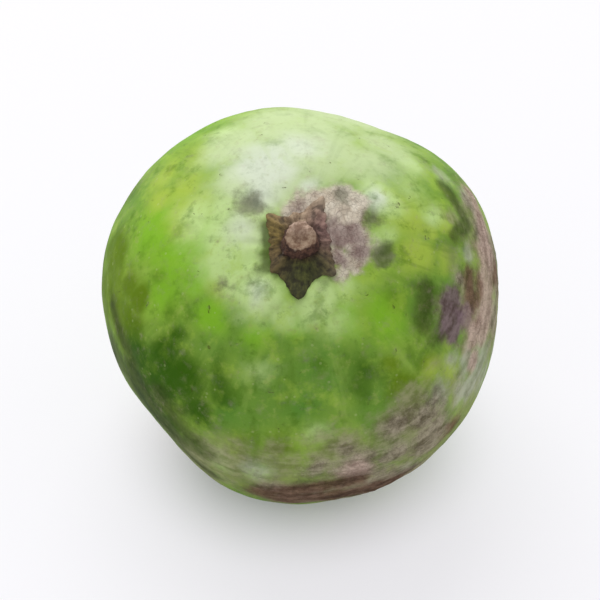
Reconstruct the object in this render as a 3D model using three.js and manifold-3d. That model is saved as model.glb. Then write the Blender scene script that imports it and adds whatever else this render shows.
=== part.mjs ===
// A dragon plum, the sour green drupe of Dracontomelon duperreanum, picked unripe.
// The fruit lies on a small flat spot with its stem end leaning to the front. The dried
// calyx, a flat star of five lobes, still lies in the shallow hollow at the stem end, and
// the short broken end of the stalk stands on it.
//
// Millimetres, +Z up, front towards -Y. The origin is on the flat spot, straight below the
// middle of the fruit.

import * as THREE from "three";
import { mergeVertices } from "three/addons/utils/BufferGeometryUtils.js";
import Module from "manifold-3d";

// Driving dimensions of the fruit.
const fruitWidth = 28; // across the stem axis
const fruitLength = 25.6; // from stem end to far end
const stemLean = 26.5; // degrees from upright to the stem axis, towards the front
const restDepth = 0.45; // how much the flat spot takes off the round underside
const clearance = 0.3; // between pieces that touch

// The hollow round the stalk and the shallow eye at the far end: depth, and reach in degrees.
const stemHollow = { depth: 0.75, reach: 17 };
const farEye = { depth: 0.3, reach: 20 };

// The fruit is faintly five-sided, after the five cells of its stone.
const cells = 5;
const sideHeight = 0.1;
const sideTurn = 24;

// Where the skin swells out or lies flatter. lean is counted from the stem end, turn round
// the stem axis from the right-hand side, both in degrees, and reach is how far it spreads.
const swells = [
  { lean: 102, turn: 223, reach: 24, height: -1.05 },
  { lean: 71, turn: 72, reach: 29, height: -0.8 },
  { lean: 90, turn: 182, reach: 24, height: -0.35 },
  { lean: 83, turn: 155, reach: 25, height: 0.15 },
  { lean: 77, turn: 40, reach: 24, height: 0.3 },
  { lean: 108, turn: 260, reach: 36, height: 0.3 },
  { lean: 93, turn: 5, reach: 25, height: -0.25 },
  { lean: 40, turn: 251, reach: 25, height: 0.15 },
  { lean: 138, turn: 119, reach: 30, height: -0.3 },
];

// The calyx: five dried lobes on a small disc, each with its own direction, length and
// width, which is in degrees round the stem axis.
const calyxDisc = 2.15; // radius
const calyxThickness = 0.5; // at the middle
const lobeThickness = 0.25; // at the tips
const lobes = [
  { turn: 268, length: 3.9, width: 21 },
  { turn: 316, length: 3.25, width: 18 },
  { turn: 65, length: 3.6, width: 17 },
  { turn: 140, length: 3.0, width: 18 },
  { turn: 228, length: 2.75, width: 25 },
];

// The stub of the stalk, snapped off short and leaning back a little.
const stubRadius = 1.15;
const stubHeight = 1.45;
const stubLean = 4; // degrees, away from the front

const degrees = THREE.MathUtils.degToRad;

// A unit vector that leans away from the stem axis, turned round that axis. Angles in radians.
function directionOf(lean, turn) {
  return new THREE.Vector3(
    Math.sin(lean) * Math.cos(turn),
    Math.sin(lean) * Math.sin(turn),
    Math.cos(lean),
  );
}

// A bell curve: 1 where offset is 0, fading out over reach.
function bell(offset, reach) {
  return Math.exp(-((offset / reach) ** 2));
}

// How far the skin is from the middle of the fruit in a direction. The stem axis is +Z here.
function skinRadius(direction) {
  const lean = Math.acos(THREE.MathUtils.clamp(direction.z, -1, 1));
  const turn = Math.atan2(direction.y, direction.x);
  let radius =
    1 / Math.hypot(Math.sin(lean) / (fruitWidth / 2), Math.cos(lean) / (fruitLength / 2));
  radius -= stemHollow.depth * bell(lean, degrees(stemHollow.reach));
  radius -= farEye.depth * bell(Math.PI - lean, degrees(farEye.reach));
  radius += sideHeight * Math.cos(cells * (turn - degrees(sideTurn))) * Math.sin(lean) ** 2;
  for (const swell of swells) {
    const middle = directionOf(degrees(swell.lean), degrees(swell.turn));
    radius += swell.height * bell(direction.angleTo(middle), degrees(swell.reach));
  }
  return radius;
}

// Moves every vertex of a geometry by place(vertex), which changes the vertex.
function reshape(geometry, place) {
  const positions = geometry.getAttribute("position");
  const vertex = new THREE.Vector3();
  for (let i = 0; i < positions.count; i++) {
    vertex.fromBufferAttribute(positions, i);
    place(vertex);
    positions.setXYZ(i, vertex.x, vertex.y, vertex.z);
  }
  geometry.computeVertexNormals();
  return geometry;
}

// The same surface with its shared vertices merged, holding only positions.
function closed(geometry) {
  geometry.deleteAttribute("normal");
  geometry.deleteAttribute("uv");
  return mergeVertices(geometry);
}

// manifold-3d cuts the flat spot.
const wasm = await Module();
wasm.setup();

function solidFrom(geometry) {
  return new wasm.Manifold(
    new wasm.Mesh({
      numProp: 3,
      vertProperties: geometry.getAttribute("position").array,
      triVerts: new Uint32Array(geometry.index.array),
    }),
  );
}

function geometryFrom(solid) {
  const mesh = solid.getMesh();
  const geometry = new THREE.BufferGeometry();
  geometry.setAttribute("position", new THREE.BufferAttribute(mesh.vertProperties, 3));
  geometry.setIndex(new THREE.BufferAttribute(mesh.triVerts, 1));
  geometry.computeVertexNormals();
  return geometry;
}

// The whole fruit before its flat spot is cut, leaning as it lies, about its own middle.
function makeRoundFruit() {
  const ball = closed(new THREE.SphereGeometry(1, 72, 46));
  ball.rotateX(Math.PI / 2); // its poles go on the stem axis
  reshape(ball, (vertex) => {
    vertex.normalize();
    vertex.multiplyScalar(skinRadius(vertex));
  });
  ball.rotateX(degrees(stemLean));
  ball.computeBoundingBox();
  return ball;
}

const roundFruit = makeRoundFruit();
const restHeight = -roundFruit.boundingBox.min.z - restDepth; // from the flat spot to the middle

// The fruit, one body of flesh and skin, standing on its flat spot at height 0.
function makeFruit() {
  roundFruit.translate(0, 0, restHeight);
  const below = new THREE.BoxGeometry(2 * fruitWidth, 2 * fruitWidth, fruitLength);
  below.translate(0, 0, -fruitLength / 2);
  return geometryFrom(solidFrom(roundFruit).subtract(solidFrom(closed(below))));
}

// How far the calyx reaches from the stem axis, along the skin, at a turn in radians.
function calyxReach(turn) {
  let reach = calyxDisc;
  for (const lobe of lobes) {
    const offset = THREE.MathUtils.euclideanModulo(
      turn - degrees(lobe.turn) + Math.PI,
      2 * Math.PI,
    );
    reach += (lobe.length - calyxDisc) * bell(offset - Math.PI, degrees(lobe.width));
  }
  return reach;
}

// The calyx, a disc of radius 1 stretched to the star and laid over the hollow.
function makeCalyx() {
  const profile = [
    [0, 0],
    [0.35, 0],
    [0.7, 0],
    [1, 0],
    [1, 1],
    [0.7, 1],
    [0.35, 1],
    [0, 1],
  ].map(([x, y]) => new THREE.Vector2(x, y));
  const star = closed(new THREE.LatheGeometry(profile, 60));
  star.rotateX(Math.PI / 2);
  return reshape(star, (vertex) => {
    const share = Math.hypot(vertex.x, vertex.y);
    const turn = Math.atan2(vertex.y, vertex.x);
    const along = share * calyxReach(turn);
    const thickness = THREE.MathUtils.lerp(calyxThickness, lobeThickness, share);
    const lift = clearance + vertex.z * thickness;
    vertex.copy(directionOf(along / (fruitLength / 2), turn));
    vertex.multiplyScalar(skinRadius(vertex) + lift);
  });
}

// The broken end of the stalk, wider at its foot, with a worn rim and an uneven top.
function makeStub() {
  const profile = [
    [0, 0],
    [1.15, 0],
    [1.12, 0.2],
    [0.98, 0.55],
    [0.96, 0.85],
    [0.8, 0.98],
    [0.4, 0.94],
    [0, 0.9],
  ].map(([x, y]) => new THREE.Vector2(x * stubRadius, y * stubHeight));
  const peg = closed(new THREE.LatheGeometry(profile, 28));
  peg.rotateX(Math.PI / 2);
  return reshape(peg, (vertex) => {
    const turn = Math.atan2(vertex.y, vertex.x);
    const ridges = 1 + 0.05 * Math.cos(3 * turn + 1) + 0.03 * Math.cos(5 * turn);
    vertex.x *= ridges;
    vertex.y *= ridges;
  });
}

// Skin, dry calyx and stalk wood.
const skin = new THREE.MeshStandardMaterial({ color: 0x7ba23c, roughness: 0.42, metalness: 0 });
const dryCalyx = new THREE.MeshStandardMaterial({ color: 0x4b3a2c, roughness: 0.85, metalness: 0 });
const stalkWood = new THREE.MeshStandardMaterial({ color: 0x86705e, roughness: 0.9, metalness: 0 });

function named(name, geometry, material) {
  const mesh = new THREE.Mesh(geometry, material);
  mesh.name = name;
  return mesh;
}

const fruit = named("fruit", makeFruit(), skin);
const calyx = named("calyx", makeCalyx(), dryCalyx);
const stub = named("stem_stub", makeStub(), stalkWood);
stub.position.z = skinRadius(new THREE.Vector3(0, 0, 1)) + calyxThickness + 2 * clearance;
stub.rotation.x = degrees(-stubLean);

// The stem end's own frame: the middle of the fruit, with +Z along the stem axis.
const stemEnd = new THREE.Group();
stemEnd.position.z = restHeight;
stemEnd.rotation.x = degrees(stemLean);
stemEnd.add(calyx, stub);

const dragonPlum = new THREE.Group();
dragonPlum.add(fruit, stemEnd);

export default dragonPlum;
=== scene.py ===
import math

import bmesh
import bpy
import numpy as np
from mathutils import Matrix, Vector, noise


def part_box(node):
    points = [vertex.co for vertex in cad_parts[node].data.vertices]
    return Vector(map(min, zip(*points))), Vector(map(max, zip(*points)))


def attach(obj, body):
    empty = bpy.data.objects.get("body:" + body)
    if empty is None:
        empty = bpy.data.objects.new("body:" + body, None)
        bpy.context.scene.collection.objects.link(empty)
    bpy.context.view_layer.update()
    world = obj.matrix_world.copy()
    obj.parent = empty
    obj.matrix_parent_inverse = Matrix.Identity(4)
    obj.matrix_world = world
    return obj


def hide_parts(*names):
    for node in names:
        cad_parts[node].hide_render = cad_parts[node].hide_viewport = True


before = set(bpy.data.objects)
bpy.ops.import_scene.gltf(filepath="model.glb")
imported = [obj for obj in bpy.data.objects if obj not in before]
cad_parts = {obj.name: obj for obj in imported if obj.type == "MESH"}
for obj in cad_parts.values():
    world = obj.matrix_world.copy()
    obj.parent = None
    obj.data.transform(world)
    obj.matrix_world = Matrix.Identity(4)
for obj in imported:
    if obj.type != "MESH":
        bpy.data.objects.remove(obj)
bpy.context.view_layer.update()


# The fruit
# One unripe drupe of the dragon plum, grown as a single piece: firm flesh round a five-celled
# stone, under a thin green skin. It is flatter where it grew against its neighbours, and it
# lies loose on a small flat spot, with its stem end leaning to the front.

# Pieces are shaped in millimetres about the fruit's middle, with the stem axis as +Z. A place on
# the skin is a lean, in degrees from the stem end, and a turn, in degrees round the stem axis.
MM = 0.001
FRUIT_WIDTH = 28.0
FRUIT_LENGTH = 25.6
STEM_LEAN = 26.5

STEM_HOLLOW_DEPTH, STEM_HOLLOW_REACH = 0.75, 17
FAR_EYE_DEPTH, FAR_EYE_REACH = 0.3, 20
CELLS, SIDE_HEIGHT, SIDE_TURN = 5, 0.1, 24

# Where the skin swells out or lies flatter: lean, turn, reach in degrees, height.
SWELLS = [
    (102, 223, 24, -1.05),
    (71, 72, 29, -0.8),
    (90, 182, 24, -0.35),
    (83, 155, 25, 0.15),
    (77, 40, 24, 0.3),
    (108, 260, 36, 0.3),
    (93, 5, 25, -0.25),
    (40, 251, 25, 0.15),
    (138, 119, 30, -0.3),
]


def direction(lean, turn):
    """The unit vector from the fruit's middle to a place on the skin."""
    lean, turn = math.radians(lean), math.radians(turn)
    return np.array(
        [math.sin(lean) * math.cos(turn), math.sin(lean) * math.sin(turn), math.cos(lean)]
    )


def bell(offset, reach):
    """1 where offset is 0, fading out over reach."""
    return np.exp(-((offset / reach) ** 2))


def spot(directions, lean, turn, reach):
    """A round spot on the skin: 1 in its middle, fading out over reach degrees."""
    offset = np.arccos(np.clip(directions @ direction(lean, turn), -1, 1))
    return bell(offset, math.radians(reach))


def stroke(directions, start, end, reach):
    """A long spot from one place to another."""
    start, end = direction(*start), direction(*end)
    along = np.clip((directions - start) @ (end - start) / np.sum((end - start) ** 2), 0, 1)
    nearest = start + along[:, None] * (end - start)
    nearest /= np.linalg.norm(nearest, axis=1, keepdims=True)
    offset = np.arccos(np.clip(np.sum(directions * nearest, axis=1), -1, 1))
    return bell(offset, math.radians(reach))


def skin_radius(directions):
    """Millimetres from the fruit's middle to its skin."""
    lean = np.arccos(np.clip(directions[:, 2], -1, 1))
    turn = np.arctan2(directions[:, 1], directions[:, 0])
    radius = 1 / np.hypot(np.sin(lean) / (FRUIT_WIDTH / 2), np.cos(lean) / (FRUIT_LENGTH / 2))
    radius -= STEM_HOLLOW_DEPTH * bell(lean, math.radians(STEM_HOLLOW_REACH))
    radius -= FAR_EYE_DEPTH * bell(math.pi - lean, math.radians(FAR_EYE_REACH))
    radius += SIDE_HEIGHT * np.cos(CELLS * (turn - math.radians(SIDE_TURN))) * np.sin(lean) ** 2
    for swell_lean, swell_turn, reach, height in SWELLS:
        radius += height * spot(directions, swell_lean, swell_turn, reach)
    return radius


def read_points(bm):
    return np.array([vertex.co for vertex in bm.verts])


def write_points(bm, points):
    for vertex, point in zip(bm.verts, points):
        vertex.co = point


def lumps(points, size, octaves=2):
    """Soft random relief, about -1 to 1, whose lumps are size apart."""
    return np.array(
        [noise.fractal(Vector(p), 1.0, 2.0, octaves) for p in (points / size).tolist()]
    )


# Holds still the noise that bends the outlines of patches, which otherwise follows the clock.
noise.seed_set(1)


def wander(directions, size, amount):
    """The same directions, each pushed aside at random, so that patches get irregular edges."""
    pushed = [
        Vector(d) + amount * noise.noise_vector(Vector(d) / size) for d in directions.tolist()
    ]
    return np.array([d.normalized() for d in pushed])


# The dark marks that the flower's styles left round the stem end: lean, turn, reach, strength.
STYLE_MARKS = [
    (21, 140, 4.8, 1.1),
    (21, 52, 3.4, 1.1),
    (24, 21, 3.6, 0.9),
    (26, 352, 3.8, 1.5),
    (28, 209, 3.2, 0.6),
]

# Where the skin has each tint or blemish, as round spots: lean, turn, reach, strength. The greens
# come first, with deep green and olive partly painted shade near the edge, then the whitish coat
# round the stem end with a painted sheen and a painted highlight on it, thin scurf, a grey tint
# near the edge, cork with some painted shade on the bottom edge, and dark marks and painted shade.
PATCHES = {
    "cool_green": [
        (51, 270, 6, 0.8), (45, 284, 6, 0.7), (58, 244, 6, 0.6), (36, 286, 4, 0.6),
        (40, 276, 5, 0.6), (33, 330, 5, 0.5), (85, 100, 14, 0.6), (112, 190, 16, 0.7),
        (125, 90, 18, 0.6),
    ],
    "bright_green": [
        (48, 167, 11, 1.0), (41, 182, 11, 1.0), (34, 173, 8, 1.0), (47, 195, 9, 0.9),
        (36, 218, 6, 1.0), (34, 196, 6, 1.1), (31, 245, 6, 0.8), (35, 319, 8, 0.9),
        (28, 300, 7, 0.8), (27, 268, 5, 0.6), (74, 120, 16, 0.6), (128, 170, 20, 0.6),
    ],
    # The spots and the stroke along the left edge are partly painted shade that darkens the edge.
    "olive_and_limb_shade": [
        (70, 170, 8, 1.0), (60, 184, 6, 1.1), (68, 193, 8, 1.3), (62, 199, 5, 0.9),
        (80, 182, 9, 1.2), (86, 172, 8, 1.0), (66, 253, 6, 0.6), (64, 264, 5, 0.9),
        (56, 321, 4, 1.0), (35, 330, 5, 0.5), (76, 150, 9, 0.6), (56, 309, 6, 1.2),
        (60, 317, 4, 0.8), (48, 309, 4, 0.9), (57, 191, 5, 1.2), (96, 112, 12, 0.6),
        (120, 250, 18, 0.6), (140, 20, 22, 0.7),
    ],
    # The spots low on the left, near the edge, are partly painted shade that darkens the edge.
    "deep_green_and_rim_shade": [
        (57, 216, 8, 1.2), (49, 213, 4, 0.9), (48, 188, 4, 0.5), (47, 205, 4, 0.55),
        (57, 226, 10, 1.2), (65, 219, 10, 1.2), (63, 234, 8, 1.0), (67, 207, 8, 1.1),
        (77, 215, 10, 1.3), (80, 226, 10, 1.2), (82, 236, 8, 1.0), (90, 196, 9, 1.0),
        (48, 301, 5, 0.6), (110, 225, 22, 0.8), (100, 150, 20, 0.6), (118, 60, 24, 0.6),
        (132, 330, 20, 0.5),
    ],
    "yellow": [
        (66, 325, 6, 1.1), (59, 321, 5, 0.8), (37, 17, 9, 1.0), (38, 359, 7, 1.0),
        (46, 359, 5, 0.8), (49, 14, 5, 0.9), (34, 26, 7, 0.9), (45, 149, 8, 0.8),
        (50, 133, 7, 0.6), (38, 160, 8, 1.1), (28, 208, 5, 0.9), (57, 145, 6, 1.0),
        (52, 154, 6, 0.9), (43, 11, 4, 1.0), (104, 140, 12, 0.6), (125, 300, 12, 0.6),
    ],
    "dull": [
        (82, 258, 13, 1.2), (84, 285, 15, 1.2), (78, 308, 12, 1.1), (70, 285, 8, 0.9),
        (86, 238, 9, 0.9), (74, 250, 9, 0.9), (64, 306, 7, 0.9), (84, 345, 9, 1.0),
        (63, 350, 8, 0.9), (54, 340, 6, 0.7), (70, 14, 8, 0.9), (50, 1, 4.5, 0.7),
        (56, 333, 5, 0.8), (60, 325, 4, 0.6), (70, 320, 6, 0.9), (98, 320, 20, 0.9),
        (112, 20, 22, 0.7),
    ],
    "pale": [
        (22, 162, 11, 1.4), (22, 188, 10, 1.4), (20, 212, 9, 1.4), (34, 164, 8, 0.9),
        (30, 38, 5, 1.1), (18, 292, 5, 1.2), (28, 9, 4, 0.7), (46, 18, 5, 0.8),
        (11, 112, 4, 0.8), (20, 235, 8, 1.1), (23, 260, 6, 0.8), (22, 280, 7, 1.0),
        (61, 276, 4, 0.7), (53, 120, 6, 0.9), (50, 42, 6, 0.9), (60, 34, 4, 0.6),
        (20, 312, 6, 0.8), (28, 293, 6, 0.7), (32, 30, 6, 0.9), (24, 5, 5, 0.7),
        (43, 33, 7, 0.6), (76, 325, 5, 0.6), (77, 246, 6, 0.7), (77, 258, 4, 1.1),
        (28, 230, 4, 0.6), (42, 253, 5, 0.5), (150, 90, 20, 0.6),
    ],
    # Partly a real whitish bloom, partly a painted sheen where the light from above and behind
    # falls on the top.
    "bloom_and_painted_sheen": [
        (37, 80, 18, 1.1), (37, 60, 13, 1.0), (44, 118, 12, 1.0), (50, 93, 19, 1.1),
        (22, 108, 12, 1.1), (52, 57, 13, 0.8), (30, 130, 11, 1.0), (66, 78, 20, 1.0),
        (15, 75, 9, 1.0), (18, 160, 8, 0.9), (22, 236, 6, 0.5),
    ],
    # Mostly a painted highlight: the whitest spots, where the light from behind shines on the top,
    # on a little wax.
    "wax_and_painted_highlight": [
        (30, 112, 11, 1.1), (36, 90, 9, 0.7), (23, 122, 8, 0.9), (20, 165, 6, 0.5),
        (28, 33, 4, 0.9), (20, 80, 4, 0.8), (19, 229, 4, 0.6),
    ],
    "veil": [
        (67, 300, 9, 1.0), (62, 310, 8, 0.9), (68, 281, 9, 1.0), (70, 264, 8, 0.8),
        (76, 248, 9, 1.0), (84, 243, 9, 0.9), (95, 240, 14, 0.9), (82, 330, 8, 0.9),
        (52, 340, 7, 0.8), (60, 350, 8, 1.0), (67, 343, 8, 1.0), (68, 18, 10, 1.1),
        (60, 8, 6, 0.7), (54, 17, 4, 0.9), (74, 325, 6, 1.0), (66, 336, 5, 0.9),
        (112, 25, 20, 0.8), (130, 200, 22, 0.8),
    ],
    "grey_limb": [
        (78, 337, 7, 1.1), (88, 336, 7, 0.8), (93, 346, 7, 0.7), (75, 326, 5, 0.9),
        (70, 332, 5, 0.9), (79, 330, 6, 1.3), (64, 329, 4, 0.7), (75, 258, 5, 0.6),
        (59, 5, 3.5, 0.9), (68, 317, 5, 0.9), (90, 300, 5, 0.9), (66, 27, 4, 0.8),
        (60, 37, 4, 0.7),
    ],
    "russet": [
        (66, 25, 4.5, 0.9), (69, 15, 6, 1.1), (76, 11, 8, 1.1), (82, 1, 8, 1.1),
        (87, 12, 8, 0.9), (80, 351, 8, 1.1), (92, 357, 8, 0.8), (66, 302, 6, 1.0),
        (71, 311, 7, 1.1), (81, 310, 9, 1.1), (68, 283, 5, 0.8), (78, 287, 9, 1.1),
        (75, 274, 5, 0.9), (85, 263, 6, 0.9), (77, 298, 5, 1.2), (54, 354, 3.5, 0.9),
        (9.5, 105, 3.5, 1.0), (92, 270, 11, 1.1), (99, 292, 20, 1.1), (108, 15, 18, 1.0),
        (95, 195, 8, 0.5), (128, 205, 14, 0.8), (150, 300, 14, 0.7),
    ],
    "beige": [(68, 341, 4.5, 1.2), (73, 335, 3.5, 0.9), (79, 286, 6, 1.0)],
    # The spots low at the front are partly painted shade on the bottom edge, where the fruit rests.
    "rust_and_rim_shade": [
        (77, 4, 4.5, 1.0), (68, 346, 3, 0.6), (95, 266, 6, 1.1), (95, 279, 7, 1.2),
        (99, 293, 9, 1.1), (86, 318, 5, 0.9), (110, 20, 6, 0.7),
    ],
    "pink_cork": [
        (18, 43, 7, 1.3), (23, 38, 4, 1.0), (16, 318, 4, 0.8), (17, 7, 7, 1.1),
        (18, 354, 6, 1.0), (12, 15, 7, 1.1), (17, 340, 5, 0.9), (12, 338, 4, 1.0),
        (13, 83, 6, 0.9), (15, 62, 6, 1.2),
    ],
    "mauve": [
        (11, 34, 4, 0.9), (12, 11, 5, 1.3), (17, 15, 3.5, 1.0), (13, 336, 4, 0.8),
        (18, 3, 4.5, 0.9), (19, 352, 4, 0.9), (60, 342, 4.5, 1.2), (12, 85, 3.5, 0.7),
    ],
    # Painted shade where neighbouring fruit and the calyx shade the skin, along the lower left edge
    # and round the calyx, and a few dark green marks.
    "painted_shade_and_dark_marks": [
        (53, 331, 4, 0.9), (69, 229, 4, 0.8), (15, 300, 2.4, 0.6), (65, 14, 3, 0.6),
        (11, 228, 3, 1.1), (11, 248, 3, 1.0), (83, 270, 4, 0.6),
    ],
    "cream": [(17, 38, 5, 1.2), (18, 54, 5, 1.2), (13, 68, 4, 1.0), (11, 102, 3.5, 0.8)],
    "bruise": [(112, 110, 4, 0.7)],
}

# The long spots: lean and turn of one end, lean and turn of the other, reach, strength.
STROKES = {
    # Partly painted shade along the left edge.
    "olive_and_limb_shade": [((68, 173), (71, 198), 7, 1.4)],
    "deep_green_and_rim_shade": [
        ((46, 236), (54, 241), 5, 0.7),
        ((43, 297), (50, 293), 5, 0.7),
    ],
    # Painted shade along the right and lower left edges and round the calyx.
    "painted_shade_and_dark_marks": [
        ((57, 31), (58, 24), 2.8, 1.1),
        ((58, 24), (60, 16), 2.4, 1.0),
        ((60, 16), (52, 9), 2.6, 1.0),
        ((71, 188), (73, 204), 4, 0.9),
        ((70, 222), (78, 242), 4.5, 0.9),
        ((46, 333), (43, 342), 4.5, 1.0),
        ((11, 152), (12, 214), 3.4, 1.2),
        ((77, 208), (82, 230), 7, 1.1),
        ((84, 196), (84, 212), 6, 1.2),
        ((86, 228), (91, 242), 5, 1.0),
    ],
    "bruise": [((52, 345), (56, 337), 5, 1.25)],
    "rust_and_rim_shade": [
        ((59, 357), (62, 346), 3.2, 1.05),
        ((65, 358), (64, 350), 3, 0.8),
        # These two are partly painted shade along the bottom edge, where the fruit rests on the
        # floor.
        ((90, 262), (97, 296), 6, 1.2),
        ((86, 266), (86, 286), 4, 1.1),
    ],
    "beige": [((72, 28), (69, 12), 4.5, 0.9), ((69, 8), (72, 345), 5.5, 1.3)],
}


SKIN_SEGMENTS, SKIN_RINGS = 420, 231

# The random relief of the skin, in lumps: their size, their height.
SKIN_LUMPS = [(7.0, 0.12), (2.4, 0.045), (0.9, 0.016)]
STYLE_MARK_DEPTH = 0.2

# The crust of the cork: the patch, the strength from which it rises, its height, its roughness.
CORK_RELIEF = [("russet", 0.45, 0.06, 0.09), ("pink_cork", 0.4, 0.08, 0.1)]
CRUST_SIZE = 0.6

# The faint folds that run down into the stem hollow: how many, how high, round which lean, and
# how much lumps of which size bend them.
PUCKERS, PUCKER_HEIGHT = 17, 0.04
PUCKER_LEAN, PUCKER_REACH = 15, 5
PUCKER_BEND, PUCKER_BEND_SIZE = 4, 3.0

# The lean over which the streaks of the open skin fade in.
STREAKS_START = 32

# How the outlines of patches wander: the size of a bend, and how far it pushes.
PATCH_BENDS = [(0.25, 0.03), (0.1, 0.025)]
MARK_BEND = (0.12, 0.03)


def draw_masks(directions):
    """How strongly each vertex of the skin has each tint or blemish."""
    ragged = directions
    for size, amount in PATCH_BENDS:
        ragged = wander(ragged, size, amount)
    masks = {}
    for name, spots in PATCHES.items():
        masks[name] = np.max([s * spot(ragged, *place) for *place, s in spots], axis=0)
    for name, strokes in STROKES.items():
        drawn = [s * stroke(ragged, *place) for *place, s in strokes]
        masks[name] = np.maximum(masks[name], np.max(drawn, axis=0))
    marks = wander(directions, *MARK_BEND)
    masks["style_mark"] = np.max([s * spot(marks, *place) for *place, s in STYLE_MARKS], axis=0)
    return masks


def make_fruit_mesh():
    bm = bmesh.new()
    bmesh.ops.create_uvsphere(bm, u_segments=SKIN_SEGMENTS, v_segments=SKIN_RINGS, radius=1)
    directions = read_points(bm)
    directions /= np.linalg.norm(directions, axis=1, keepdims=True)
    lean = np.degrees(np.arccos(np.clip(directions[:, 2], -1, 1)))
    turn = np.arctan2(directions[:, 1], directions[:, 0])
    radius = skin_radius(directions)
    round_points = directions * radius[:, None]
    masks = draw_masks(directions)
    masks["open_skin"] = 1 - bell(lean, STREAKS_START)

    relief = sum(height * lumps(round_points, size) for size, height in SKIN_LUMPS)
    relief -= STYLE_MARK_DEPTH * masks["style_mark"] ** 2
    crust = lumps(round_points, CRUST_SIZE)
    for name, threshold, height, roughness in CORK_RELIEF:
        relief += np.clip(masks[name] - threshold, 0, 1) * (height + roughness * crust)
    bend = PUCKER_BEND * lumps(round_points, PUCKER_BEND_SIZE)
    folds = np.cos(PUCKERS * turn + bend)
    relief += PUCKER_HEIGHT * folds * bell(lean - PUCKER_LEAN, PUCKER_REACH)
    write_points(bm, directions * (radius + relief)[:, None])
    wrap = np.stack([np.cos(turn), np.sin(turn), np.radians(lean)], axis=1)
    return bm, masks, wrap


def stand_on_floor(bm):
    """Leans the shape as the fruit lies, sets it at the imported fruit's height and turns
    millimetres into metres."""
    bmesh.ops.transform(bm, matrix=STEM_TO_ROW, verts=bm.verts)


def highest_point(lean_matrix):
    """The top of the leaning fruit above its middle, which lies on its back."""
    back = np.array([direction(lean, 90) for lean in np.arange(0, 90, 0.5)])
    points = back * skin_radius(back)[:, None]
    return max((lean_matrix @ Vector(p)).z for p in points)


LEAN_MATRIX = Matrix.Rotation(math.radians(STEM_LEAN), 4, "X")
MIDDLE_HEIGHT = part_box("fruit")[1].z / MM - highest_point(LEAN_MATRIX)
STEM_TO_ROW = Matrix.Scale(MM, 4) @ Matrix.Translation((0, 0, MIDDLE_HEIGHT)) @ LEAN_MATRIX


def finish_piece(name, bm, masks, wrap, node, material):
    """Makes the object, ties it to the CAD frame and stores what its material reads: masks,
    and wrap, which is the turn as a cosine and a sine, and how far along the piece."""
    mesh = bpy.data.meshes.new(name)
    bm.to_mesh(mesh)
    bm.free()
    mesh.shade_smooth()
    for mask_name, values in masks.items():
        attribute = mesh.attributes.new(mask_name, "FLOAT", "POINT")
        attribute.data.foreach_set("value", values.astype(np.float32))
    attribute = mesh.attributes.new("wrap", "FLOAT_VECTOR", "POINT")
    attribute.data.foreach_set("vector", wrap.astype(np.float32).ravel())
    mesh.materials.append(material)
    piece = bpy.data.objects.new(name, mesh)
    bpy.context.scene.collection.objects.link(piece)
    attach(piece, "root")
    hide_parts(node)


def paint(hex_code):
    """A colour as a painter's sheet writes it, in the linear values that shaders take."""
    channels = [int(hex_code[i : i + 2], 16) / 255 for i in (0, 2, 4)]
    linear = [c / 12.92 if c <= 0.04045 else ((c + 0.055) / 1.055) ** 2.4 for c in channels]
    return (*linear, 1.0)


def add_node(tree, kind, inputs=None, **settings):
    """A shader node whose inputs are set by name or number, to a value or from another socket."""
    made = tree.nodes.new("ShaderNode" + kind)
    for name, value in settings.items():
        setattr(made, name, value)
    for key, value in (inputs or {}).items():
        if isinstance(value, bpy.types.NodeSocket):
            tree.links.new(value, made.inputs[key])
        else:
            made.inputs[key].default_value = value
    return made


def mix_colours(tree, amount, under, over):
    return add_node(tree, "Mix", {0: amount, 6: under, 7: over}, data_type="RGBA").outputs[2]


def calculate(tree, operation, a, b):
    return add_node(tree, "Math", {0: a, 1: b}, operation=operation).outputs[0]


def blend_values(tree, amount, under, over):
    return add_node(tree, "Mix", {0: amount, 2: under, 3: over}, data_type="FLOAT").outputs[0]


def ramp(tree, value, low, high):
    """0 up to low, 1 from high on, and a smooth rise between them."""
    inputs = {"Value": value, "From Min": low, "From Max": high}
    return add_node(tree, "MapRange", inputs, interpolation_type="SMOOTHSTEP").outputs[0]


def start_group(name, inputs, outputs):
    """A shader node group with named number and vector sockets."""
    group = bpy.data.node_groups.new(name, "ShaderNodeTree")
    for socket_name, kind in inputs.items():
        group.interface.new_socket(socket_name, in_out="INPUT", socket_type="NodeSocket" + kind)
    for socket_name, kind in outputs.items():
        group.interface.new_socket(socket_name, in_out="OUTPUT", socket_type="NodeSocket" + kind)
    return group, group.nodes.new("NodeGroupInput"), group.nodes.new("NodeGroupOutput")


def make_ragged_edge_group():
    """Breaks the edge of a mask up into islands and bays, crisp or soft."""
    group, given, result = start_group(
        "Ragged edge",
        {"Mask": "Float", "Vector": "Vector", "Scale": "Float", "Raggedness": "Float",
         "Softness": "Float"},
        {"Mask": "Float"},
    )
    islands = add_node(
        group,
        "TexNoise",
        {"Vector": given.outputs["Vector"], "Scale": given.outputs["Scale"], "Detail": 6.0,
         "Roughness": 0.68},
    )
    centred = calculate(group, "SUBTRACT", islands.outputs["Fac"], 0.5)
    push = calculate(group, "MULTIPLY", centred, given.outputs["Raggedness"])
    half = calculate(group, "MULTIPLY", given.outputs["Softness"], 0.5)
    low = calculate(group, "SUBTRACT", 0.5, half)
    high = calculate(group, "ADD", 0.5, half)
    edge = ramp(group, calculate(group, "ADD", given.outputs["Mask"], push), low, high)
    group.links.new(edge, result.inputs["Mask"])
    return group


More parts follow.
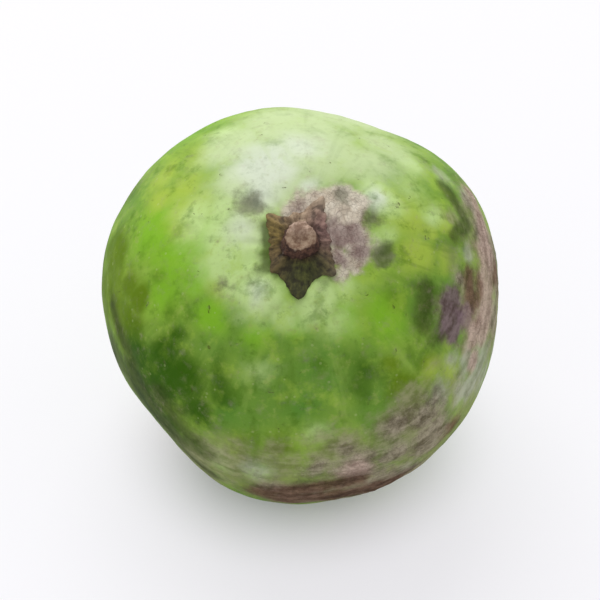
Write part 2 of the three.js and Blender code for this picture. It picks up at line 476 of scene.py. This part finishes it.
def make_fleck_group():
    """Small round flecks of different sizes, such as the pores of a skin or a bark."""
    group, given, result = start_group(
        "Flecks",
        {"Vector": "Vector", "Scale": "Float", "Size": "Float", "Share": "Float"},
        {"Mask": "Float"},
    )
    cells = add_node(
        group, "TexVoronoi", {"Vector": given.outputs["Vector"], "Scale": given.outputs["Scale"]}
    )
    lot = add_node(group, "SeparateColor", {"Color": cells.outputs["Color"]})
    size = calculate(group, "MULTIPLY", given.outputs["Size"], lot.outputs["Green"])
    near = calculate(group, "SUBTRACT", size, cells.outputs["Distance"])
    fleck = ramp(group, near, 0.0, 0.08)
    drawn = calculate(group, "LESS_THAN", lot.outputs["Red"], given.outputs["Share"])
    group.links.new(calculate(group, "MULTIPLY", fleck, drawn), result.inputs["Mask"])
    return group


def make_crack_group():
    """The fine net of cracks in a corky skin."""
    group, given, result = start_group(
        "Cork cracks",
        {"Vector": "Vector", "Scale": "Float", "Width": "Float"},
        {"Mask": "Float"},
    )
    bend = add_node(
        group, "TexNoise", {"Vector": given.outputs["Vector"], "Scale": 1.5, "Detail": 3.0}
    )
    bent = add_node(
        group, "VectorMath", {0: given.outputs["Vector"], 1: bend.outputs["Color"]}, operation="ADD"
    )
    net = add_node(
        group,
        "TexVoronoi",
        {"Vector": bent.outputs[0], "Scale": given.outputs["Scale"]},
        feature="DISTANCE_TO_EDGE",
    )
    crack = ramp(group, net.outputs["Distance"], given.outputs["Width"], 0.0)
    group.links.new(crack, result.inputs["Mask"])
    return group


RAGGED_EDGE = make_ragged_edge_group()
CORK_CRACKS = make_crack_group()
FLECKS = make_fleck_group()


def use_group(tree, group, **inputs):
    made = tree.nodes.new("ShaderNodeGroup")
    made.node_tree = group
    for name, value in inputs.items():
        if isinstance(value, bpy.types.NodeSocket):
            tree.links.new(value, made.inputs[name])
        else:
            made.inputs[name].default_value = value
    return made.outputs[0]


def start_material(name):
    """An empty material: its node tree, its shader, and its Object coordinates in millimetres."""
    material = bpy.data.materials.new(name)
    material.use_nodes = True
    tree = material.node_tree
    shader = tree.nodes["Principled BSDF"]
    coordinates = add_node(tree, "TexCoord").outputs["Object"]
    scale = (1 / MM, 1 / MM, 1 / MM)
    millimetres = add_node(tree, "Mapping", {"Vector": coordinates, "Scale": scale}).outputs[0]
    return material, tree, shader, millimetres


def connect(tree, shader, colour, roughness, normal):
    tree.links.new(colour, shader.inputs["Base Color"])
    tree.links.new(roughness, shader.inputs["Roughness"])
    tree.links.new(normal, shader.inputs["Normal"])


def read_mask(tree, name):
    return add_node(tree, "Attribute", attribute_name=name).outputs["Fac"]


def cloud(tree, vector, scale, detail=4.0, roughness=0.55, distortion=0.0):
    inputs = {"Vector": vector, "Scale": scale, "Detail": detail, "Roughness": roughness,
              "Distortion": distortion}
    return add_node(tree, "TexNoise", inputs).outputs["Fac"]


def streaks(tree, round_scale, lean_scale):
    """Noise drawn out along the piece: high round_scale gives streaks from stem to far end,
    high lean_scale gives rings round the stem axis."""
    wrap = add_node(tree, "Attribute", attribute_name="wrap").outputs["Vector"]
    scale = (round_scale, round_scale, lean_scale)
    stretched = add_node(tree, "Mapping", {"Vector": wrap, "Scale": scale}).outputs[0]
    return cloud(tree, stretched, 1.0, 5.0, 0.6)


# The greens and the pale coat, one over the other, with painted shade in deep green and olive and a
# painted sheen and highlight in the coat: the mask, its colour, the scale, raggedness and softness
# of its edge, and how much it covers.
GROUND_TINTS = [
    ("cool_green", "528a30", 0.4, 0.7, 0.9, 0.75),
    ("bright_green", "86be2c", 0.35, 0.6, 0.9, 0.92),
    ("olive_and_limb_shade", "5e7c00", 0.45, 0.8, 0.9, 0.88),
    ("deep_green_and_rim_shade", "315c00", 0.4, 0.7, 0.95, 0.94),
    ("yellow", "b0c84e", 0.5, 0.8, 0.9, 0.85),
    ("dull", "8e965e", 0.45, 0.8, 0.95, 0.85),
    ("pale", "c8e496", 0.45, 0.7, 0.95, 0.92),
    ("bloom_and_painted_sheen", "ccdea8", 0.35, 0.5, 0.95, 0.92),
    ("wax_and_painted_highlight", "e2ead8", 0.35, 0.5, 0.95, 0.85),
]

# Scurf, a grey tint near the edge, cork with some painted shade on the bottom edge, dark marks and
# painted shade, one over the other: the mask, its dark and its light tone, the scale, raggedness
# and softness of its edge, and how much it covers.
SKIN_MARKS = [
    ("veil", "727848", "a6a47e", 0.6, 2.0, 0.8, 0.75),
    ("grey_limb", "989c86", "c0c4b0", 0.8, 1.4, 0.8, 0.72),
    ("russet", "6e6252", "b4a894", 0.8, 1.3, 0.9, 0.88),
    ("painted_shade_and_dark_marks", "2c360e", "4e5a2c", 0.8, 1.0, 1.0, 0.75),
    ("beige", "a0887c", "d8beb0", 0.9, 1.0, 0.8, 0.88),
    ("rust_and_rim_shade", "4c3029", "80604f", 1.0, 1.3, 0.95, 0.85),
    ("pink_cork", "b09a90", "e2d6c6", 0.9, 1.2, 0.55, 0.9),
    ("cream", "d2c4b0", "f0e6d4", 1.0, 1.2, 0.9, 0.85),
    ("mauve", "7e6664", "a48e8a", 1.1, 1.4, 0.7, 0.8),
    ("style_mark", "4a4e36", "7a7864", 1.6, 1.3, 0.8, 0.75),
    ("bruise", "543c44", "867078", 1.1, 1.6, 0.75, 0.88),
]
CORK = ["russet", "pink_cork", "rust_and_rim_shade", "beige"]


def patch(tree, place, name, scale, raggedness, softness):
    """A mask of the skin with its edge broken up."""
    return use_group(
        tree, RAGGED_EDGE, Mask=read_mask(tree, name), Vector=place, Scale=scale,
        Raggedness=raggedness, Softness=softness,
    )


def tint(tree, under, amount, mask, over):
    return mix_colours(tree, calculate(tree, "MULTIPLY", mask, amount), under, over)


def strongest(tree, masks):
    """Whichever of several masks is the strongest at a place."""
    top = masks[0]
    for mask in masks[1:]:
        top = calculate(tree, "MAXIMUM", top, mask)
    return top


def paint_ground(tree, place):
    """A mid green that drifts to a yellower one, with soft patches of other greens, partly painted
    shade near the edge, and the pale coat round the stem end with its painted sheen and highlight.
    Also gives back where the bloom and its painted sheen are."""
    drift = ramp(tree, cloud(tree, place, 0.14), 0.38, 0.62)
    colour = mix_colours(tree, drift, paint("70993a"), paint("90b344"))
    masks = {}
    for name, code, *edge, amount in GROUND_TINTS:
        masks[name] = patch(tree, place, name, *edge)
        colour = tint(tree, colour, amount, masks[name], paint(code))
    return colour, masks["bloom_and_painted_sheen"]


def paint_mottling(tree, place, colour, bloom_and_painted_sheen, mottle):
    """Mottling in clouds, and in streaks that run from stem to far end on the open skin. It is
    calmer under the bloom and its painted sheen and where the skin is plain green."""
    greens = [read_mask(tree, name) for name in ["deep_green_and_rim_shade", "olive_and_limb_shade", "bright_green"]]
    plain = ramp(tree, strongest(tree, greens), 0.3, 1.0)
    smooth = calculate(tree, "MULTIPLY", strongest(tree, [bloom_and_painted_sheen, plain]), 0.68)
    lively = calculate(tree, "SUBTRACT", 1.0, smooth)
    open_skin = calculate(tree, "MULTIPLY", read_mask(tree, "open_skin"), lively)
    dapple = cloud(tree, place, 0.42, 7.0, 0.62)
    along = streaks(tree, 6.0, 1.5)
    for texture, where, low, high, amount, code in [
        (dapple, lively, 0.52, 0.68, 0.45, "aacb4c"),
        (dapple, lively, 0.46, 0.32, 0.5, "456f0c"),
        (mottle, lively, 0.54, 0.72, 0.35, "b6cf60"),
        (mottle, lively, 0.45, 0.3, 0.4, "4a6c14"),
        (along, open_skin, 0.54, 0.7, 0.3, "aeca62"),
        (along, open_skin, 0.46, 0.32, 0.4, "52761a"),
    ]:
        amount = calculate(tree, "MULTIPLY", where, amount)
        colour = tint(tree, colour, amount, ramp(tree, texture, low, high), paint(code))
    return colour


def paint_marks(tree, place, colour):
    """The scurf, the cork that rubbing leaves, with some painted shade on the bottom edge, bruises,
    style marks and painted shade. Also gives back how corky the skin is."""
    grain = blend_values(tree, 0.5, cloud(tree, place, 1.3, 8.0, 0.7), streaks(tree, 2.2, 16.0))
    tone = ramp(tree, grain, 0.38, 0.6)
    masks = {}
    for name, dark, light, *edge, amount in SKIN_MARKS:
        masks[name] = patch(tree, place, name, *edge)
        own = mix_colours(tree, tone, paint(dark), paint(light))
        colour = tint(tree, colour, amount, masks[name], own)
    return colour, strongest(tree, [masks[name] for name in CORK])


def make_skin_bump(tree, place, pores, cracks, corky):
    """The finest relief: grain and pores all over, and crust and cracks on the cork."""
    grain = calculate(tree, "MULTIPLY", cloud(tree, place, 2.6, 8.0, 0.6), 0.5)
    height = calculate(tree, "ADD", grain, calculate(tree, "MULTIPLY", pores, 0.25))
    crust = calculate(tree, "MULTIPLY", cloud(tree, place, 3.5, 8.0, 0.75), corky)
    height = calculate(tree, "ADD", height, calculate(tree, "MULTIPLY", crust, 2.0))
    height = calculate(tree, "SUBTRACT", height, calculate(tree, "MULTIPLY", cracks, 1.2))
    bump = add_node(tree, "Bump", {"Height": height, "Strength": 0.6, "Distance": 0.05 * MM})
    return bump.outputs["Normal"]


def make_skin_material():
    material, tree, shader, place = start_material("Green skin")
    mottle = cloud(tree, place, 1.1, 7.0, 0.66)
    colour, bloom_and_painted_sheen = paint_ground(tree, place)
    colour = paint_mottling(tree, place, colour, bloom_and_painted_sheen, mottle)

    # Pale pores all over, and small dark flecks.
    pores = use_group(tree, FLECKS, Vector=place, Scale=1.7, Size=0.24, Share=0.6)
    colour = tint(tree, colour, 0.22, pores, paint("c4d292"))
    flecks = ramp(tree, cloud(tree, place, 1.6, 3.0, 0.6, 0.6), 0.69, 0.74)
    colour = tint(tree, colour, 0.7, flecks, paint("4b4a1e"))

    colour, corky = paint_marks(tree, place, colour)
    cracks = use_group(tree, CORK_CRACKS, Vector=place, Scale=2.4, Width=0.09)
    cracks = calculate(tree, "MULTIPLY", cracks, corky)
    colour = tint(tree, colour, 0.2, cracks, paint("4c3c30"))

    # A dull satin skin, and dry cork.
    satin = blend_values(tree, ramp(tree, mottle, 0.35, 0.7), 0.5, 0.62)
    roughness = blend_values(tree, corky, satin, 0.78)
    shader.inputs["Specular IOR Level"].default_value = 0.05
    normal = make_skin_bump(tree, place, pores, cracks, corky)
    connect(tree, shader, colour, roughness, normal)
    return material


fruit_mesh, fruit_masks, fruit_wrap = make_fruit_mesh()
stand_on_floor(fruit_mesh)
for vertex in fruit_mesh.verts:
    vertex.co.z = max(vertex.co.z, 0)
finish_piece(
    "plum_fruit", fruit_mesh, fruit_masks, fruit_wrap, "fruit", make_skin_material()
)


# The calyx
# The five dried sepals of the flower, joined in a small disc that stays between the fruit
# and its stalk. They have shrunk to a dark, brittle star that lies in the stem hollow, grown
# fast in the middle, with its tips curling off the skin.

CALYX_DISC = 2.15
CALYX_REACH = 3.9
CALYX_THICKNESS = 0.5
SEPAL_TIP_THICKNESS = 0.14
CALYX_SINK = 0.05

# The sepals: turn, length, width in degrees round the stem axis, and how far the tip curls up.
SEPALS = [
    (268, 4.05, 20, 0.1),
    (316, 3.3, 16, 0.25),
    (65, 3.65, 16, 0.15),
    (140, 3.05, 17, 0.3),
    (228, 2.75, 24, 0.15),
]

# A keel runs down the middle of each sepal from a knuckle at its foot, and all is wrinkled.
KEEL_WIDTH, KEEL_HEIGHT = 5, 0.1
KNUCKLE_PLACE, KNUCKLE_REACH, KNUCKLE_HEIGHT = 1.85, 0.55, 0.2
WRINKLE_SIZE, WRINKLE_HEIGHT = 0.55, 0.12
RIM_NICK_SIZE, RIM_NICK_DEPTH = 0.16, 0.2

# From this share of the disc's radius on, the sepals are free: they curl up and show their keels.
FREE_FROM = 0.8

# The tints of its sides: turn, spread in degrees, how much it covers, dark and light tone.
CALYX_SIDES = {
    "olive_side": (158, 44, 0.8, "685a2a", "ac9650"),
    "mauve_side": (32, 58, 0.85, "70524e", "b08c84"),
    "tan_side": (92, 30, 0.8, "8a7258", "c8b094"),
    "green_side": (280, 60, 0.85, "28300a", "566024"),
}


def spin_profile(profile, cuts, steps, longest=0.0):
    """A closed solid turned about the stem axis. Edges over longest are cut up first."""
    bm = bmesh.new()
    corners = [bm.verts.new((x, 0, z)) for x, z in profile]
    for start, end in zip(corners, corners[1:]):
        bm.edges.new((start, end))
    long_edges = [edge for edge in bm.edges if edge.calc_length() > longest]
    bmesh.ops.subdivide_edges(bm, edges=long_edges, cuts=cuts)
    bmesh.ops.spin(
        bm, geom=bm.verts[:] + bm.edges[:], cent=(0, 0, 0), axis=(0, 0, 1), dvec=(0, 0, 0),
        angle=math.tau, steps=steps, use_merge=True,
    )
    bmesh.ops.remove_doubles(bm, verts=bm.verts, dist=1e-5)
    bmesh.ops.recalc_face_normals(bm, faces=bm.faces)
    return bm


def turn_between(turns, degrees_round):
    """The signed angle in degrees from a direction round the stem axis."""
    return (np.degrees(turns) - degrees_round + 180) % 360 - 180


def make_calyx_mesh():
    """A disc of radius 1 and height 1, stretched to the star and laid over the stem hollow."""
    profile = [(0, 0), (0.5, 0), (0.9, 0), (1, 0.15), (1, 0.85), (0.9, 1), (0.5, 1), (0, 1)]
    bm = spin_profile(profile, cuts=7, steps=220, longest=0.2)
    flat = read_points(bm)
    share = np.hypot(flat[:, 0], flat[:, 1])
    turn = np.arctan2(flat[:, 1], flat[:, 0])
    round_rim = np.stack([np.cos(turn), np.sin(turn), 0 * turn], axis=1)

    reach = np.full(len(flat), CALYX_DISC)
    keel = np.zeros(len(flat))
    curl = np.zeros(len(flat))
    for sepal_turn, length, width, lift in SEPALS:
        offset = turn_between(turn, sepal_turn)
        sepal = np.exp(-np.abs(offset / width) ** 1.5)
        reach += (length - CALYX_DISC) * sepal
        keel += bell(offset, KEEL_WIDTH)
        curl += lift * sepal
    nicks = RIM_NICK_DEPTH * lumps(round_rim, RIM_NICK_SIZE)
    along = share * (reach + nicks * share ** 4)
    across = along[:, None] * round_rim
    knuckles = np.zeros(len(flat))
    for sepal_turn, *_ in SEPALS:
        knuckle = KNUCKLE_PLACE * direction(90, sepal_turn)
        knuckles += bell(np.linalg.norm(across - knuckle, axis=1), KNUCKLE_REACH)
    wrinkles = lumps(across, WRINKLE_SIZE, 3)

    out = np.clip(along / CALYX_DISC - FREE_FROM, 0, 1)
    thickness = CALYX_THICKNESS + (SEPAL_TIP_THICKNESS - CALYX_THICKNESS) * share
    upper = KEEL_HEIGHT * keel * out + WRINKLE_HEIGHT * wrinkles + KNUCKLE_HEIGHT * knuckles
    height = -CALYX_SINK + flat[:, 2] * thickness + curl * out ** 2 + flat[:, 2] * upper
    lean = along / (FRUIT_LENGTH / 2)
    directions = np.stack(
        [np.sin(lean) * np.cos(turn), np.sin(lean) * np.sin(turn), np.cos(lean)], axis=1
    )
    write_points(bm, directions * (skin_radius(directions) + height)[:, None])

    wrap = np.stack([np.cos(turn), np.sin(turn), share], axis=1)
    masks = {"share": along / CALYX_REACH, "crease_shade": np.clip(0.5 - wrinkles, 0, 1)}
    for name, (middle, spread, *_) in CALYX_SIDES.items():
        masks[name] = bell(turn_between(turn, middle), spread)
    return bm, masks, wrap


def make_dry_bump(tree, height):
    """The rough grain of dry bark and sepals."""
    bump = add_node(tree, "Bump", {"Height": height, "Strength": 0.7, "Distance": 0.12 * MM})
    return bump.outputs["Normal"]


def make_calyx_material():
    material, tree, shader, place = start_material("Dried calyx")
    share = read_mask(tree, "share")
    fibres = streaks(tree, 5.0, 1.2)
    grain = blend_values(tree, 0.5, cloud(tree, place, 1.8, 7.0, 0.7), fibres)
    tone = ramp(tree, grain, 0.4, 0.62)
    colour = mix_colours(tree, tone, paint("3a261a"), paint("705240"))
    sepals = ramp(tree, share, 0.22, 0.46)
    for name, (_, _, amount, dark, light) in CALYX_SIDES.items():
        side = calculate(tree, "MULTIPLY", read_mask(tree, name), sepals)
        own = mix_colours(tree, tone, paint(dark), paint(light))
        colour = tint(tree, colour, amount, side, own)
    tips = calculate(tree, "MULTIPLY", ramp(tree, share, 0.6, 0.9), read_mask(tree, "mauve_side"))
    colour = tint(tree, colour, 0.75, tips, paint("c8b69c"))
    # Painted shade: the low folds between the wrinkles are darkened.
    crease_shade = ramp(tree, read_mask(tree, "crease_shade"), 0.5, 1.0)
    colour = tint(tree, colour, 0.6, crease_shade, paint("1a100a"))
    height = calculate(tree, "ADD", cloud(tree, place, 5.0, 8.0, 0.7), fibres)
    roughness = blend_values(tree, grain, 0.7, 0.95)
    connect(tree, shader, colour, roughness, make_dry_bump(tree, height))
    return material


calyx_mesh, calyx_masks, calyx_wrap = make_calyx_mesh()
stand_on_floor(calyx_mesh)
finish_piece(
    "dried_calyx", calyx_mesh, calyx_masks, calyx_wrap, "calyx",
    make_calyx_material(),
)


# The stalk stub
# The short woody end of the stalk that stays on the fruit when it is picked. It flares where
# it joins the calyx, its bark is ridged, and its top is a rough break.

STUB_RADIUS = 1.1
STUB_HEIGHT = 1.45
STUB_SINK = 0.25
RIDGE_SIZE, RIDGE_HEIGHT = 0.45, 0.11
FIBRE_SIZE, FIBRE_HEIGHT = 0.28, 0.25
TEAR_HEIGHT, TEAR_REACH, TEAR_FROM = 0.5, 0.4, 0.6

# Its section isn't quite round: the waves round it, their phase and their height.
SECTION_WAVES = [(3, 1.0, 0.06), (2, -0.6, 0.04)]


def make_stub_mesh():
    profile = [(0, 0), (1.2, 0), (1.15, 0.2), (1.0, 0.5), (0.96, 0.8), (0.9, 0.96), (0.78, 1.0),
               (0.4, 0.97), (0, 0.95)]
    bm = spin_profile([(x * STUB_RADIUS, z * STUB_HEIGHT) for x, z in profile], cuts=5, steps=120)
    points = read_points(bm)
    radius = np.hypot(points[:, 0], points[:, 1])
    turn = np.arctan2(points[:, 1], points[:, 0])
    up = points[:, 2] / STUB_HEIGHT

    # Ridges of bark run up the stub.
    round_bark = np.stack([np.cos(turn) * 2, np.sin(turn) * 2, up * 0.6], axis=1)
    swell = 1 + RIDGE_HEIGHT * lumps(round_bark, RIDGE_SIZE)
    for waves, phase, height in SECTION_WAVES:
        swell += height * np.cos(waves * turn + phase)
    points[:, :2] *= swell[:, None]

    # The break is higher at the back, and its fibres stand out.
    fibres = FIBRE_HEIGHT * lumps(points * np.array([1, 1, 0.2]), FIBRE_SIZE)
    torn = TEAR_HEIGHT * np.clip(points[:, 1] / TEAR_REACH, -1, 1)
    points[:, 2] += np.clip(up - TEAR_FROM, 0, 1) * (fibres + torn)
    points[:, 2] += skin_radius(direction(0, 0)[None])[0] + CALYX_THICKNESS - STUB_SINK
    write_points(bm, points)

    masks = {
        "break_face": np.clip((up - 0.9) * 12, 0, 1) * (radius < 0.93 * STUB_RADIUS),
        "back": np.clip(0.5 + points[:, 1] / (2 * STUB_RADIUS), 0, 1),
        "up": up,
    }
    return bm, masks, np.stack([np.cos(turn), np.sin(turn), up], axis=1)


def make_stub_material():
    material, tree, shader, place = start_material("Stalk bark")
    grain = cloud(tree, place, 2.5, 7.0, 0.7)
    tone = ramp(tree, grain, 0.38, 0.62)
    bark = mix_colours(tree, tone, paint("3a2018"), paint("6e4c3c"))
    # Painted shade: the bark darkens towards its foot, where it sits in the calyx.
    foot_shade = ramp(tree, read_mask(tree, "up"), 0.5, 0.1)
    bark = tint(tree, bark, 0.6, foot_shade, paint("2a1710"))
    # The break face is painted lit at its raised back and shaded at its front: two tones of one
    # wood, lighter where the light from behind falls.
    shaded_break_colour = mix_colours(tree, tone, paint("886a54"), paint("b89e86"))
    back = mix_colours(tree, tone, paint("9e806c"), paint("ceb29e"))
    lit_and_shaded_break = mix_colours(tree, ramp(tree, read_mask(tree, "back"), 0.45, 0.75), shaded_break_colour, back)
    colour = mix_colours(tree, read_mask(tree, "break_face"), bark, lit_and_shaded_break)
    lichen = use_group(tree, FLECKS, Vector=place, Scale=2.2, Size=0.3, Share=0.4)
    colour = tint(tree, colour, 0.25, lichen, paint("b9a893"))
    height = cloud(tree, place, 6.0, 8.0, 0.7)
    roughness = blend_values(tree, grain, 0.75, 0.95)
    connect(tree, shader, colour, roughness, make_dry_bump(tree, height))
    return material


stub_mesh, stub_masks, stub_wrap = make_stub_mesh()
stand_on_floor(stub_mesh)
finish_piece(
    "stalk_stub", stub_mesh, stub_masks, stub_wrap, "stem_stub",
    make_stub_material(),
)


# The floor, the light and the camera
# A plain pale floor, a large soft window of light behind and above the fruit, a little to the
# left, an even pale room for fill, and a long lens that looks down at the stem end.

# Lengths here are in metres, but the camera's sensor is measured in millimetres.
FLOOR_HALF_WIDTH = 1.5
FLOOR_COLOUR = (0.87, 0.865, 0.885)
FLOOR_GLOW = 0.66
GLOW_COLOUR = (0.97, 0.96, 1.0)
GLOW_STARTS, GLOW_FULL = 0.003, 0.015
ROOM_SEEN = 0.85
CAMERA_HEIGHT_ANGLE = 44.6
CAMERA_DISTANCE = 0.56
FRUIT_SHARE_OF_VIEW = 0.66
SENSOR_WIDTH = 36.0

lowest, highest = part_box("fruit")
fruit_middle = (lowest + highest) / 2


def make_floor():
    """To the camera a share of the floor is a plain white glow, which lightens the outer part
    of the shadow and leaves the dark where the fruit touches."""
    bm = bmesh.new()
    bmesh.ops.create_grid(bm, x_segments=1, y_segments=1, size=FLOOR_HALF_WIDTH)
    mesh = bpy.data.meshes.new("floor")
    bm.to_mesh(mesh)
    bm.free()
    material = bpy.data.materials.new("Pale floor")
    material.use_nodes = True
    tree = material.node_tree
    shader = tree.nodes["Principled BSDF"]
    place = add_node(tree, "TexCoord").outputs["Object"]
    away = add_node(tree, "VectorMath", {0: place}, operation="LENGTH").outputs["Value"]
    glow = calculate(tree, "MULTIPLY", ramp(tree, away, GLOW_STARTS, GLOW_FULL), FLOOR_GLOW)
    seen = add_node(tree, "LightPath").outputs["Is Camera Ray"]
    glow = calculate(tree, "MULTIPLY", glow, seen)
    colour = mix_colours(tree, glow, (*FLOOR_COLOUR, 1), (0, 0, 0, 1))
    tree.links.new(colour, shader.inputs["Base Color"])
    shader.inputs["Roughness"].default_value = 0.7
    shader.inputs["Emission Color"].default_value = (*GLOW_COLOUR, 1)
    tree.links.new(glow, shader.inputs["Emission Strength"])
    mesh.materials.append(material)
    floor = bpy.data.objects.new("floor", mesh)
    bpy.context.scene.collection.objects.link(floor)


def aim(thing, point):
    """Turns a lamp or a camera to look at a point."""
    look = point - thing.location
    thing.rotation_euler = look.to_track_quat("-Z", "Y").to_euler()


def make_lamp(name, azimuth, elevation, distance, size, watts):
    lamp = bpy.data.lights.new(name, "AREA")
    lamp.shape = "DISK"
    lamp.size = size
    lamp.energy = watts
    holder = bpy.data.objects.new(name, lamp)
    azimuth, elevation = math.radians(azimuth), math.radians(elevation)
    away = Vector(
        (
            math.cos(elevation) * math.sin(azimuth),
            math.cos(elevation) * math.cos(azimuth),
            math.sin(elevation),
        )
    )
    holder.location = fruit_middle + distance * away
    aim(holder, fruit_middle)
    bpy.context.scene.collection.objects.link(holder)


def make_room(fill):
    """The room is pale to the camera and in reflections, and lights the scene at fill."""
    world = bpy.data.worlds.new("Pale room")
    world.use_nodes = True
    tree = world.node_tree
    path = add_node(tree, "LightPath")
    seen = calculate(
        tree, "MAXIMUM", path.outputs["Is Camera Ray"], path.outputs["Is Glossy Ray"]
    )
    seen = calculate(tree, "MAXIMUM", seen, path.outputs["Is Transmission Ray"])
    background = tree.nodes["Background"]
    background.inputs["Color"].default_value = (1, 1, 1, 1)
    tree.links.new(blend_values(tree, seen, fill, ROOM_SEEN), background.inputs["Strength"])
    bpy.context.scene.world = world


def make_camera():
    camera = bpy.data.cameras.new("camera")
    view_width = (highest.x - lowest.x) / FRUIT_SHARE_OF_VIEW
    camera.sensor_width = SENSOR_WIDTH
    camera.lens = SENSOR_WIDTH * CAMERA_DISTANCE / view_width
    holder = bpy.data.objects.new("camera", camera)
    angle = math.radians(CAMERA_HEIGHT_ANGLE)
    holder.location = fruit_middle + CAMERA_DISTANCE * Vector(
        (0, -math.cos(angle), math.sin(angle))
    )
    aim(holder, fruit_middle)
    bpy.context.scene.collection.objects.link(holder)
    bpy.context.scene.camera = holder


make_floor()
make_lamp("window", azimuth=-16, elevation=46, distance=0.6, size=0.6, watts=2.2)
make_room(fill=0.66)
make_camera()
bpy.context.scene.view_settings.view_transform = "Standard"
